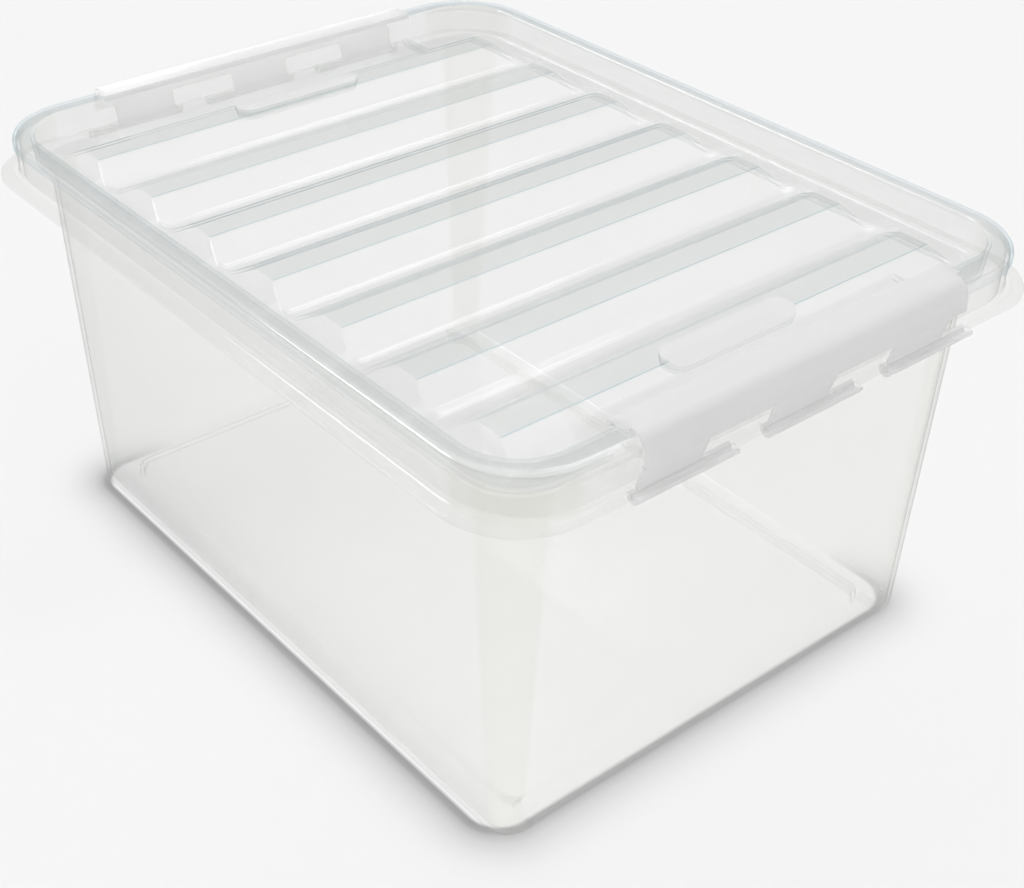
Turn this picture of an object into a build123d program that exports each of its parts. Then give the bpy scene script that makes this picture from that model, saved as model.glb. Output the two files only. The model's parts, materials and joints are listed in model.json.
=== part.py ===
"""Stackable storage bin with a ribbed lid and two hinged end latches.

Millimetres, +Z up, +X along the length, origin at the bottom centre of the bin.
Four moulded pieces: the bin, the lid and two identical latches. Each latch clips
round three rods that are moulded into the flange at one end of the bin.
"""
import os

from build123d import *

# --- bin body: half sizes (x, y) and corner radius at the two ends of the taper ---
BASE_HALF = (214.0, 160.2)
BASE_RADIUS = 15.0
RIM_HALF = (223.3, 170.6)
RIM_RADIUS = 30.0
RIM_Z = 226.0
WALL = 2.2
BASE_EDGE_RADIUS = 2.5

# --- bin floor: a raised plateau inside a low channel, hollow underneath ---
CHANNEL_FLOOR_Z = 2.2
PLATEAU_HALF = (199.5, 142.0)
PLATEAU_RADIUS = 12.0
PLATEAU_TOP_Z = 8.0
FLOOR_THICKNESS = 2.2
SILL_HALF_WIDTH = 139.0
SILL_UNDERSIDE_Z = 4.3

# --- flange round the rim, and the collar the lid closes over ---
FLANGE_HALF = (250.0, 195.9)
FLANGE_RADIUS = 44.6
FLANGE_THICKNESS = 2.0
FLANGE_TOP_Z = RIM_Z + FLANGE_THICKNESS
FLANGE_EDGE_RADIUS = 0.6
COLLAR_FOOT_HALF = (243.7, 186.9)
COLLAR_FOOT_RADIUS = 46.6
COLLAR_SHOULDER_Z = 244.6
COLLAR_DRAFT = 0.8
COLLAR_THICKNESS = 2.0
COLLAR_TOP_Z = 249.9
COLLAR_TOP_RADIUS = 0.8
COLLAR_FILLET = 4.5

# --- latch hinges: rods across three windows in each end flange ---
HINGE_X = 248.4
HINGE_Z = RIM_Z
ROD_RADIUS = 1.6
HINGE_PITCH = 86.8
HINGE_CENTRES_Y = (-HINGE_PITCH, 0.0, HINGE_PITCH)
WINDOW_HALF_WIDTH = 33.2
WINDOW_INNER_X = 244.15
WINDOW_Z = (220.0, 234.0)

# --- lid: rolled rim with a skirt, and a sunken tray ---
LID_HALF = (245.7, 188.8)
LID_RADIUS = 48.6
LID_TOP_Z = 253.2
SKIRT_BOTTOM_Z = 245.0
SKIRT_THICKNESS = 1.5
ROLL_RADIUS = 5.5
WELL_TOP_HALF = (229.5, 176.7)
WELL_TOP_RADIUS = 32.4
WELL_BOTTOM_HALF = (227.5, 174.7)
WELL_BOTTOM_RADIUS = 30.0
TRAY_Z = 234.5
LID_THICKNESS = 1.8
WELL_SHOULDER_RADIUS = 2.2
WELL_FOOT_RADIUS = 2.0

# --- lid: ridges across the tray with valleys between them, pads and thumb recesses at its ends ---
RIDGE_TOP_Z = 242.7
RIDGE_TOP_HALF_WIDTH = 9.15
RIDGE_SLOPE_WIDTH = 15.2
RIDGE_HALF_LENGTH = 151.0
RIDGE_END_DRAFT = 6.0
RIDGE_PITCH = 61.33
END_RIDGE_X = 184.95
RIDGE_CENTRES_X = (
    -END_RIDGE_X, -2 * RIDGE_PITCH, -RIDGE_PITCH, 0.0, RIDGE_PITCH, 2 * RIDGE_PITCH, END_RIDGE_X,
)
RIDGE_SLOPE_COVER = 2.04
RIDGE_END_COVER = 0.9
RIDGE_RISE_PER_MM = (RIDGE_TOP_Z - TRAY_Z) / RIDGE_SLOPE_WIDTH
SLOPE_SHIFT = (RIDGE_SLOPE_COVER - LID_THICKNESS) / RIDGE_RISE_PER_MM
VALLEY_Z = 232.9
PAD_TOP_Z = 239.3
PAD_HALF_WIDTH = 115.5
PAD_INNER_X = 199.5
PAD_DRAFT = 1.0
RECESS_X = (182.5, 199.0)
RECESS_HALF_WIDTH = 44.5
RECESS_RADIUS = 10.0
RECESS_FLOOR_Z = 236.8

# --- latch: a plate bent over the lid rim, three arms and three claws ---
LATCH_THICKNESS = 2.0
LATCH_TOP_Z = 256.4
LATCH_LIP_X = 227.4
LATCH_LIP_DROP = 1.5
LATCH_FRONT_FOOT = (249.0, 239.2)
LATCH_FRONT_CORNER_X = 250.5
LATCH_BEND_RADIUS = 9.0
LATCH_HALF_LENGTH = 117.5
LATCH_CORNER_RADIUS = 4.0
ARM_OFFSET_Y = -7.4
ARM_HALF_WIDTH = 20.6
ARM_PROFILE = ((244.62, 226.9), (246.7, 226.6), (250.0, 239.3), (248.1, 241.0))
CLAW_HALF_WIDTH = 32.5
CLAW_INNER_RADIUS = 1.78
CLAW_OUTER_RADIUS = 3.95
CLAW_OPENING = ((9.85, 1.74), (0.0, 12.0), (-9.4, 3.42))


def rounded_face(half, radius, z):
    """A rounded rectangle centred on the Z axis at height z."""
    return Plane.XY.offset(z) * RectangleRounded(2 * half[0], 2 * half[1], radius)


def grown(half, amount):
    """Half sizes made larger (or smaller) by the same amount on every side."""
    return (half[0] + amount, half[1] + amount)


def prism(half, radius, bottom_z, top_z):
    """A straight block with rounded vertical corners."""
    return extrude(rounded_face(half, radius, bottom_z), amount=top_z - bottom_z)


def frustum(bottom_half, bottom_radius, bottom_z, top_half, top_radius, top_z):
    """A tapered block with rounded vertical corners."""
    sections = [
        rounded_face(bottom_half, bottom_radius, bottom_z),
        rounded_face(top_half, top_radius, top_z),
    ]
    return loft(sections, ruled=True)


def block(x_range, y_range, z_range):
    """An axis-aligned block between three pairs of coordinates."""
    size = [high - low for low, high in (x_range, y_range, z_range)]
    centre = [(high + low) / 2 for low, high in (x_range, y_range, z_range)]
    return Pos(*centre) * Box(*size)


def edges_at(solid, z):
    """Edges of a solid that lie flat at height z."""
    return solid.edges().filter_by_position(Axis.Z, z - 0.01, z + 0.01)


def both_ends(shape):
    """A shape at the +X end together with the same shape turned to the -X end."""
    return shape + Rot(0, 0, 180) * shape


def bin_walls():
    """The tapered walls and the thin channel floor."""
    outer = frustum(BASE_HALF, BASE_RADIUS, 0, RIM_HALF, RIM_RADIUS, RIM_Z)
    outer = fillet(edges_at(outer, 0), BASE_EDGE_RADIUS)
    cavity = frustum(
        grown(BASE_HALF, -WALL), BASE_RADIUS - WALL, CHANNEL_FLOOR_Z,
        grown(RIM_HALF, -WALL), RIM_RADIUS - WALL, RIM_Z,
    )
    return outer - cavity


def bin_floor(walls):
    """The raised plateau, its hollow underside and the lifted sills at the two ends."""
    plateau = prism(PLATEAU_HALF, PLATEAU_RADIUS, 0, PLATEAU_TOP_Z)
    plateau = fillet(edges_at(plateau, PLATEAU_TOP_Z), 1.5)
    pocket = prism(
        grown(PLATEAU_HALF, -FLOOR_THICKNESS), PLATEAU_RADIUS - FLOOR_THICKNESS,
        -1, PLATEAU_TOP_Z - FLOOR_THICKNESS,
    )
    sill_y = (-SILL_HALF_WIDTH - FLOOR_THICKNESS, SILL_HALF_WIDTH + FLOOR_THICKNESS)
    sill_top_z = SILL_UNDERSIDE_Z + FLOOR_THICKNESS
    sill = block((PLATEAU_HALF[0] - 1, BASE_HALF[0] - 1), sill_y, (0.5, sill_top_z))
    gap = block(
        (PLATEAU_HALF[0] - FLOOR_THICKNESS - 0.5, BASE_HALF[0] + 3),
        (-SILL_HALF_WIDTH, SILL_HALF_WIDTH), (-1, SILL_UNDERSIDE_Z),
    )
    return walls + plateau + both_ends(sill) - pocket - both_ends(gap)


def bin_rim():
    """The flange, and the collar above it with a concave fillet between them."""
    flange = prism(FLANGE_HALF, FLANGE_RADIUS, RIM_Z, FLANGE_TOP_Z)
    flange = fillet(edges_at(flange, FLANGE_TOP_Z) + edges_at(flange, RIM_Z), FLANGE_EDGE_RADIUS)
    collar = frustum(
        COLLAR_FOOT_HALF, COLLAR_FOOT_RADIUS, FLANGE_TOP_Z,
        grown(COLLAR_FOOT_HALF, COLLAR_DRAFT), COLLAR_FOOT_RADIUS + COLLAR_DRAFT, COLLAR_SHOULDER_Z,
    )
    rim = flange + collar
    foot_edges = edges_at(rim, FLANGE_TOP_Z).filter_by(
        lambda edge: abs(edge.center().X) < COLLAR_FOOT_HALF[0] + 1
        and abs(edge.center().Y) < COLLAR_FOOT_HALF[1] + 1
    )
    rim = fillet(foot_edges, COLLAR_FILLET)
    neck = prism(COLLAR_FOOT_HALF, COLLAR_FOOT_RADIUS, COLLAR_SHOULDER_Z, COLLAR_TOP_Z)
    neck = fillet(edges_at(neck, COLLAR_TOP_Z), COLLAR_TOP_RADIUS)
    collar_bore = prism(
        grown(COLLAR_FOOT_HALF, -COLLAR_THICKNESS), COLLAR_FOOT_RADIUS - COLLAR_THICKNESS,
        FLANGE_TOP_Z, COLLAR_TOP_Z,
    )
    mouth = prism(grown(RIM_HALF, -WALL), RIM_RADIUS - WALL, RIM_Z, FLANGE_TOP_Z)
    return rim + neck - collar_bore - mouth


def hinge_windows():
    """The openings in both end flanges that the latch claws turn in."""
    windows = Part()
    for centre_y in HINGE_CENTRES_Y:
        y_range = (centre_y - WINDOW_HALF_WIDTH, centre_y + WINDOW_HALF_WIDTH)
        windows += block((WINDOW_INNER_X, FLANGE_HALF[0] + 1), y_range, WINDOW_Z)
    return both_ends(windows)


def hinge_rods():
    """The rods that close the outer side of each window."""
    rods = Part()
    length = 2 * WINDOW_HALF_WIDTH + 4
    for centre_y in HINGE_CENTRES_Y:
        rods += Pos(HINGE_X, centre_y, HINGE_Z) * Rot(90, 0, 0) * Cylinder(ROD_RADIUS, length)
    return both_ends(rods)


def bin_part():
    """The bin: floor, walls, rim and hinge rods in one moulding."""
    body = bin_floor(bin_walls()) + bin_rim()
    return body - hinge_windows() + hinge_rods()


def lid_rim():
    """The rolled rim with its skirt, solid inside the well opening."""
    outer = prism(LID_HALF, LID_RADIUS, SKIRT_BOTTOM_Z, LID_TOP_Z)
    outer = fillet(edges_at(outer, LID_TOP_Z), ROLL_RADIUS)
    inner = prism(
        grown(LID_HALF, -SKIRT_THICKNESS), LID_RADIUS - SKIRT_THICKNESS,
        SKIRT_BOTTOM_Z, LID_TOP_Z - SKIRT_THICKNESS,
    )
    inner = fillet(edges_at(inner, LID_TOP_Z - SKIRT_THICKNESS), ROLL_RADIUS - SKIRT_THICKNESS)
    return outer - inner


def lid_well():
    """The solid that carries the tray and the cut that hollows it, as a pair."""
    outside = frustum(
        grown(WELL_BOTTOM_HALF, LID_THICKNESS), WELL_BOTTOM_RADIUS + LID_THICKNESS,
        TRAY_Z - LID_THICKNESS,
        grown(WELL_TOP_HALF, LID_THICKNESS), WELL_TOP_RADIUS + LID_THICKNESS, LID_TOP_Z - 0.5,
    )
    outside = fillet(edges_at(outside, TRAY_Z - LID_THICKNESS), WELL_FOOT_RADIUS)
    hollow = frustum(
        WELL_BOTTOM_HALF, WELL_BOTTOM_RADIUS, TRAY_Z, WELL_TOP_HALF, WELL_TOP_RADIUS, LID_TOP_Z,
    )
    hollow = fillet(edges_at(hollow, TRAY_Z), WELL_FOOT_RADIUS)
    return outside, hollow


def tapered_bar(top_half, bottom_half, top_z, bottom_z):
    """A straight-sided bar that widens downwards."""
    sections = [
        Plane.XY.offset(bottom_z) * Rectangle(2 * bottom_half[0], 2 * bottom_half[1]),
        Plane.XY.offset(top_z) * Rectangle(2 * top_half[0], 2 * top_half[1]),
    ]
    return loft(sections, ruled=True)


def ridge():
    """One ridge as a solid, with the solid that hollows its underside."""
    base_half_width = RIDGE_TOP_HALF_WIDTH + RIDGE_SLOPE_WIDTH
    bar = tapered_bar(
        (RIDGE_TOP_HALF_WIDTH, RIDGE_HALF_LENGTH),
        (base_half_width, RIDGE_HALF_LENGTH + RIDGE_END_DRAFT), RIDGE_TOP_Z, TRAY_Z,
    )
    core = tapered_bar(
        (RIDGE_TOP_HALF_WIDTH - SLOPE_SHIFT, RIDGE_HALF_LENGTH - RIDGE_END_COVER),
        (base_half_width - SLOPE_SHIFT, RIDGE_HALF_LENGTH + RIDGE_END_DRAFT - RIDGE_END_COVER),
        RIDGE_TOP_Z - LID_THICKNESS, TRAY_Z - LID_THICKNESS,
    )
    return bar, core


def valleys():
    """The V-shaped bottoms between the ridges, below the tray, and the trough under each."""
    cuts = Part()
    troughs = Part()
    depth = TRAY_Z - VALLEY_Z
    side_run = depth / RIDGE_RISE_PER_MM
    end_run = depth * RIDGE_END_DRAFT / (RIDGE_TOP_Z - TRAY_Z)
    half_length = RIDGE_HALF_LENGTH + RIDGE_END_DRAFT
    for centre_x, next_x in zip(RIDGE_CENTRES_X, RIDGE_CENTRES_X[1:]):
        half_width = (next_x - centre_x) / 2 - RIDGE_TOP_HALF_WIDTH - RIDGE_SLOPE_WIDTH
        place = Pos((centre_x + next_x) / 2, 0, 0)
        cuts += place * tapered_bar(
            (half_width, half_length), (half_width - side_run, half_length - end_run), TRAY_Z, VALLEY_Z,
        )
        outer_width = half_width + SLOPE_SHIFT
        outer_length = half_length + RIDGE_END_COVER
        troughs += place * tapered_bar(
            (outer_width, outer_length), (outer_width - side_run, outer_length - end_run),
            TRAY_Z - LID_THICKNESS, VALLEY_Z - LID_THICKNESS,
        )
    return cuts, troughs


def end_pad():
    """The raised pad between the last ridge and the end wall, with its hollow."""
    outer_x = WELL_BOTTOM_HALF[0] + 1.2
    centre_x = (PAD_INNER_X + outer_x) / 2
    half_x = (outer_x - PAD_INNER_X) / 2
    pad = Pos(centre_x, 0, 0) * tapered_bar(
        (half_x, PAD_HALF_WIDTH), (half_x, PAD_HALF_WIDTH + PAD_DRAFT), PAD_TOP_Z, TRAY_Z - 0.5,
    )
    core_half_width = PAD_HALF_WIDTH - LID_THICKNESS
    core_drop = TRAY_Z - LID_THICKNESS
    core = Pos(centre_x - 1.5, 0, 0) * tapered_bar(
        (half_x - 1.5, core_half_width), (half_x - 1.5, core_half_width + PAD_DRAFT),
        PAD_TOP_Z - LID_THICKNESS, core_drop,
    )
    return pad, core


def thumb_recess():
    """The cut in an end ridge for a thumb, with the tub that closes its underside."""
    centre_x = sum(RECESS_X) / 2
    half = ((RECESS_X[1] - RECESS_X[0]) / 2, RECESS_HALF_WIDTH)
    cut = Pos(centre_x, 0, 0) * prism(half, RECESS_RADIUS / 1.3, RECESS_FLOOR_Z, RIDGE_TOP_Z + 1)
    tub = Pos(centre_x, 0, 0) * prism(
        grown(half, LID_THICKNESS), RECESS_RADIUS / 1.3 + LID_THICKNESS,
        RECESS_FLOOR_Z - LID_THICKNESS, RIDGE_TOP_Z,
    )
    return cut, tub


def lid_part():
    """The lid: rim, well, ridges, pads and thumb recesses in one moulding."""
    outside, hollow = lid_well()
    lid = lid_rim() + outside - hollow
    shoulder = edges_at(lid, LID_TOP_Z).filter_by(
        lambda edge: abs(edge.center().X) < WELL_TOP_HALF[0] + 1
        and abs(edge.center().Y) < WELL_TOP_HALF[1] + 1
    )
    lid = fillet(shoulder, WELL_SHOULDER_RADIUS)
    bar, bar_core = ridge()
    bars = Part()
    cores = Part()
    for centre_x in RIDGE_CENTRES_X:
        bars += Pos(centre_x, 0, 0) * bar
        cores += Pos(centre_x, 0, 0) * bar_core
    pad, pad_core = end_pad()
    cut, tub = thumb_recess()
    envelope = bars + both_ends(pad)
    cores += both_ends(pad_core)
    tubs = both_ends(tub) & envelope
    valley_cuts, valley_troughs = valleys()
    return lid + valley_troughs + envelope - cores + tubs - both_ends(cut) - valley_cuts


def latch_plate():
    """The bent plate with a small lip that drops behind the lid rim."""
    middle_z = LATCH_TOP_Z - LATCH_THICKNESS / 2
    path = FilletPolyline(
        (LATCH_LIP_X, middle_z), (LATCH_FRONT_CORNER_X - 3.0, middle_z), LATCH_FRONT_FOOT,
        radius=LATCH_BEND_RADIUS,
    )
    section = Plane.XZ * trace(path, line_width=LATCH_THICKNESS)
    plate = extrude(section, amount=LATCH_HALF_LENGTH, both=True)
    lip = block(
        (LATCH_LIP_X, LATCH_LIP_X + 1.4), (-LATCH_HALF_LENGTH, LATCH_HALF_LENGTH),
        (LATCH_TOP_Z - LATCH_THICKNESS - LATCH_LIP_DROP, middle_z),
    )
    plan_depth = 40.0
    plan = Pos(LATCH_LIP_X + plan_depth / 2, 0, 0) * prism(
        (plan_depth / 2, LATCH_HALF_LENGTH), LATCH_CORNER_RADIUS, HINGE_Z, LATCH_TOP_Z + 1,
    )
    return (plate + lip) & plan


def latch_claw():
    """One C-shaped claw, open towards the top, as long as its rod allows."""
    ring = Circle(CLAW_OUTER_RADIUS) - Circle(CLAW_INNER_RADIUS)
    opening = make_face(Polyline((0, 0), *CLAW_OPENING, close=True))
    section = Plane.XZ * (Pos(HINGE_X, HINGE_Z) * (ring - opening))
    return extrude(section, amount=CLAW_HALF_WIDTH, both=True)


def latch_arm():
    """One arm joining the plate to a claw."""
    section = Plane.XZ * make_face(Polyline(*ARM_PROFILE, close=True))
    return Pos(0, ARM_OFFSET_Y, 0) * extrude(section, amount=ARM_HALF_WIDTH, both=True)


def latch_part():
    """The latch for the +X end, closed over the lid."""
    latch = latch_plate()
    claw_and_arm = latch_claw() + latch_arm()
    for centre_y in HINGE_CENTRES_Y:
        latch += Pos(0, centre_y, 0) * claw_and_arm
    return latch


def main():
    """Export the four pieces in their closed, assembled position."""
    os.makedirs("parts", exist_ok=True)
    latch = latch_part()
    pieces = {
        "bin": bin_part(),
        "lid": lid_part(),
        "latch_right": latch,
        "latch_left": Rot(0, 0, 180) * latch,
    }
    for name, piece in pieces.items():
        export_step(piece, f"parts/{name}.step")


main()
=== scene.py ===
"""Clear stackable storage bin with a ribbed lid and two end latches, on a pale studio floor.

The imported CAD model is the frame. The bin, lid and latches are rebuilt here as smooth
swept meshes of the same sizes. Lengths are in millimetres until a mesh is made.
"""
import json
import math

import bmesh
import bpy
from mathutils import Matrix, Vector


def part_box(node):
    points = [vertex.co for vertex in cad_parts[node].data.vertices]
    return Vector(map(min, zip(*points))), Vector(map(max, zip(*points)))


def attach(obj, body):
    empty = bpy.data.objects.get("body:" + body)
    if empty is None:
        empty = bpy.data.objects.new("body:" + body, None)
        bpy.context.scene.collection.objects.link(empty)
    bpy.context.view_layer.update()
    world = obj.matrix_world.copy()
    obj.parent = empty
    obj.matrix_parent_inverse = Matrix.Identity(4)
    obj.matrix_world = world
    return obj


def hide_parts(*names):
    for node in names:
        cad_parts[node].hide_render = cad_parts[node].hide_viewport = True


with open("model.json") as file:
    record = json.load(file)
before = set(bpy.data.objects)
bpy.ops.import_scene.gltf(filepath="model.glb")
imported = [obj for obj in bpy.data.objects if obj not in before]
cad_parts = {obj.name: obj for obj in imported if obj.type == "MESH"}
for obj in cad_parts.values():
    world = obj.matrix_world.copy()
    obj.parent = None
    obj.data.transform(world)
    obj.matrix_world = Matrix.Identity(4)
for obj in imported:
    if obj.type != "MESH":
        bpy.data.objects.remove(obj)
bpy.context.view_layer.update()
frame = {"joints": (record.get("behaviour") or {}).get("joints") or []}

MM = 0.001
BIN_HIGH = [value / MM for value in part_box("bin")[1]]
LID_LOW, LID_HIGH = [[value / MM for value in corner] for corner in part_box("lid")]
LATCH_LOW, LATCH_HIGH = [[value / MM for value in corner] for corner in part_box("latch_right")]
HINGES = {joint["name"]: joint for joint in frame["joints"] if joint["type"] == "hinge"}
HINGE_X = HINGES["latch_right_hinge"]["pos_m"][0] / MM
HINGE_Z = HINGES["latch_right_hinge"]["pos_m"][2] / MM

# --- mesh fineness ---
CORNER_STEPS = 16
ARC_STEPS = 6

# --- bin: every row of a swept wall is (half length, half width, corner radius, height) ---
WALL = 2.2
FLANGE_HALF = (BIN_HIGH[0], BIN_HIGH[1])
FLANGE_RADIUS = 44.6
FLANGE_THICKNESS = 2.0
BASE_HALF = (214.0, 160.2)
BASE_RADIUS = 15.0
RIM_HALF = (223.3, 170.6)
RIM_RADIUS = 30.0
RIM_Z = HINGE_Z
FLANGE_TOP_Z = RIM_Z + FLANGE_THICKNESS
COLLAR_HALF = (243.7, 186.9)
COLLAR_RADIUS = 46.6
COLLAR_DRAFT = 0.8
COLLAR_SHOULDER_Z = 244.6
COLLAR_TOP_Z = BIN_HIGH[2]
COLLAR_THICKNESS = 2.0
COLLAR_FILLET = 4.5
PLATEAU_HALF = (199.5, 142.0)
PLATEAU_RADIUS = 12.0
PLATEAU_TOP_Z = 8.0
FLOOR_THICKNESS = 2.2
SILL_HALF_WIDTH = 139.0
SILL_UNDERSIDE_Z = 4.3

# --- latch hinges ---
HINGE_PITCH = 86.8
HINGE_CENTRES_Y = (-HINGE_PITCH, 0.0, HINGE_PITCH)
ROD_RADIUS = 1.6
WINDOW_HALF_WIDTH = 33.2
WINDOW_INNER_X = 244.15
WINDOW_Z = (220.0, 234.0)

# --- lid ---
LID_HALF = (LID_HIGH[0], LID_HIGH[1])
LID_RADIUS = 48.6
LID_TOP_Z = LID_HIGH[2]
SKIRT_BOTTOM_Z = 245.0
SKIRT_THICKNESS = 1.5
ROLL_RADIUS = 5.5
WELL_TOP_HALF = (229.5, 176.7)
WELL_TOP_RADIUS = 32.4
WELL_BOTTOM_HALF = (227.5, 174.7)
WELL_BOTTOM_RADIUS = 30.0
LID_THICKNESS = 1.8
TRAY_Z = 234.5
VALLEY_Z = LID_LOW[2] + LID_THICKNESS
WELL_SHOULDER = 2.2
RIDGE_TOP_Z = 242.7
RIDGE_TOP_HALF_WIDTH = 9.15
RIDGE_SLOPE_WIDTH = 15.2
RIDGE_RISE_PER_MM = (RIDGE_TOP_Z - TRAY_Z) / RIDGE_SLOPE_WIDTH
RIDGE_HALF_LENGTH = 151.0
RIDGE_END_DRAFT = 6.0
VALLEY_ROUND = 6.4
VALLEY_RADIUS = 13.5
VALLEY_END_RADIUS = 5.5
FOLD_SOFTNESS = 0.25
RIDGE_PITCH = 61.33
END_RIDGE_X = 184.95
RIDGE_CENTRES_X = (
    -END_RIDGE_X, -2 * RIDGE_PITCH, -RIDGE_PITCH, 0.0, RIDGE_PITCH, 2 * RIDGE_PITCH, END_RIDGE_X,
)
PAD_TOP_Z = 239.3
PAD_HALF_WIDTH = 115.5
PAD_INNER_X = 199.5
RECESS_X = (182.5, 199.0)
RECESS_HALF_WIDTH = 44.5
RECESS_RADIUS = 8.0
RECESS_FLOOR_Z = 236.8
TRAY_GRID_HALF = (210.5, 156.0)

# --- latch ---
LATCH_THICKNESS = 2.0
LATCH_TOP_Z = LATCH_HIGH[2]
LATCH_LIP_X = LATCH_LOW[0]
LATCH_LIP_DROP = 1.5
LATCH_FOOT = (249.0, 239.2)
LATCH_SHOULDER_X = 247.5
LATCH_BEND_RADIUS = 9.0
LATCH_HALF_LENGTH = 117.5
ARM_OFFSET_Y = -7.4
ARM_HALF_WIDTH = 20.6
ARM_PROFILE = ((244.62, 226.9), (246.7, 226.6), (250.0, 239.3), (248.1, 241.0))
CLAW_HALF_WIDTH = 32.5
CLAW_INNER_RADIUS = 1.78
CLAW_OUTER_RADIUS = 3.95
CLAW_START_DEGREES = 160.0
CLAW_END_DEGREES = 370.0
LATCH_CORNER_RADIUS = 4.0
LATCH_LIP_THICKNESS = 1.4

# --- plastics: a tint is the light that passes one surface ---
BIN_TINT = (0.991, 0.991, 0.988)
# Painted shade: the bin's rounded upright corners get a warmer, darker tint.
BIN_CORNER_PAINTED_SHADE_TINT = (0.968, 0.968, 0.955)
BIN_EDGE_TINT = (0.40, 0.45, 0.46)
BIN_CORNER_PAINTED_SHADE_EDGE_TINT = (0.40, 0.45, 0.44)
BIN_EDGE_POWER = 9.0
BIN_FACE_GLOSS = 0.036
BIN_CORNER_FACE_GLOSS = 0.03
LID_TINT = (0.964, 0.968, 0.967)
# Painted shade: the flat tops of the lid's ridges get a darker tint.
RIDGE_TOP_PAINTED_SHADE_TINT = (0.915, 0.93, 0.927)
# Painted shade: thin darker blue-green lines along the long edges of the ridge tops.
RIDGE_EDGE_PAINTED_SHADE_TINT = (0.50, 0.68, 0.75)
LID_EDGE_TINT = (0.15, 0.30, 0.38)
LID_EDGE_POWER = 20.0
LID_FACE_GLOSS = 0.03
RIM_TINT = (0.984, 0.986, 0.986)
RIM_EDGE_TINT = (0.10, 0.42, 0.58)
RIM_EDGE_POWER = 6.0
RIM_FACE_GLOSS = 0.05
GLOSS_POWER = 5.5
GLOSS_GAIN = 0.7
GLOSS_ROUGHNESS = 0.045
MILK_TINT = (0.97, 0.97, 0.96)
MILK_SHARE = 0.03
LATCH_TINT = (0.86, 0.86, 0.86)
LATCH_SEE_THROUGH = 0.25
LATCH_GLOW_SHARE = 0.45
LATCH_ROUGHNESS = 0.3
LATCH_IOR = 1.49
RIM_TINT_Z = 246.5
CORNER_SLANT = 0.05
RIDGE_TOP_BAND = 0.15
RIDGE_TOP_FLATNESS = 0.98
RIDGE_EDGE_REACH = 0.25

# --- camera ---
CAMERA_ANGLES = (50.318, 34.478, 0.786)
CAMERA_PLACE = (0.67363, -0.55982, 0.67182)
CAMERA_LENS = 59.56
CAMERA_SENSOR = 36.0
CAMERA_SHIFT_X = 0.0298

# --- studio ---
SHADOW_HALF = (211.5, 161.4)
SHADOW_CENTRE = (-2.5, -1.2)
SHADOW_RADIUS = 22.0
SHADOW_START = 3.0
SHADOW_REACH = 46.0
SHADOW_SIDE_SLOPE = 16.0
SHADOW_LONG_SIDE_START = -1.6
SHADOW_END_START = -2.4
SHADOW_DARKNESS = (
    (-SHADOW_START, 0.0), (-0.5, 0.6), (2.4, 0.56), (5.0, 0.40), (7.2, 0.33), (10.0, 0.25),
    (14.0, 0.19), (18.0, 0.13), (23.0, 0.08), (28.0, 0.04), (36.0, 0.015), (SHADOW_REACH, 0.0),
)
FLOOR_ALBEDO = 0.8
WORLD_STRENGTH = 1.64
WORLD_GREYS = ((0.0, 0.72), (0.22, 0.60), (0.37, 0.14), (0.60, 0.14), (0.74, 0.85), (1.0, 1.0))
BACKDROP_DIRECTION = (-0.77, 0.64, 0.0)
BACKDROP_GAIN = 0.5
BACK_LIGHT_WATTS = 2.0
BACK_LIGHT_SIZE = 0.5
BACK_LIGHT_PLACE = (-0.8, 0, 0.34)
SOFTBOXES = (
    ((-0.349, 0.526, 0.776), (0.991, 0.997), 2.2),
    ((-0.634, -0.429, 0.643), (0.984, 0.993), 5.0),
)


# ---------------------------------------------------------------- mesh tools
def finished_object(name, mesh_builder, material, sharp_degrees=35):
    """Turns a bmesh in millimetres into a smooth-shaded object in metres."""
    bmesh.ops.remove_doubles(mesh_builder, verts=mesh_builder.verts, dist=0.001)
    bmesh.ops.scale(mesh_builder, vec=(MM, MM, MM), verts=mesh_builder.verts)
    bmesh.ops.recalc_face_normals(mesh_builder, faces=mesh_builder.faces)
    mesh = bpy.data.meshes.new(name)
    mesh_builder.to_mesh(mesh)
    mesh_builder.free()
    mesh.shade_smooth()
    mesh.set_sharp_from_angle(angle=math.radians(sharp_degrees))
    mesh.materials.append(material)
    obj = bpy.data.objects.new(name, mesh)
    bpy.context.scene.collection.objects.link(obj)
    return obj


def give_faces(obj, material, chosen):
    """Gives the chosen faces of an object a further material."""
    obj.data.materials.append(material)
    for face in obj.data.polygons:
        if chosen(face):
            face.material_index = len(obj.data.materials) - 1


def along(row, other, share):
    """The point a share of the way from row to other."""
    return [a + (b - a) * share for a, b in zip(row, other)]


def rounded_path(rows):
    """A section path with true arcs at its corners.

    Each row ends with the radius of its own corner. The turn is measured between the
    first and the last coordinate, which are the half length and the height.
    """
    path = []
    for index, (*point, radius) in enumerate(rows):
        if index in (0, len(rows) - 1) or radius == 0:
            path.append(tuple(point))
            continue
        before = rows[index - 1][:-1]
        after = rows[index + 1][:-1]
        way_in = Vector((point[0] - before[0], point[-1] - before[-1]))
        way_out = Vector((after[0] - point[0], after[-1] - point[-1]))
        half_turn = abs(way_in.angle(way_out)) / 2
        reach = radius * math.tan(half_turn)
        start = along(point, before, min(reach / way_in.length, 0.49))
        end = along(point, after, min(reach / way_out.length, 0.49))
        weight = math.cos(half_turn)
        for step in range(ARC_STEPS + 1):
            t = step / ARC_STEPS
            parts = ((1 - t) ** 2, 2 * weight * t * (1 - t), t ** 2)
            path.append(tuple(
                (parts[0] * a + parts[1] * b + parts[2] * c) / sum(parts)
                for a, b, c in zip(start, point, end)
            ))
    return path


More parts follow.
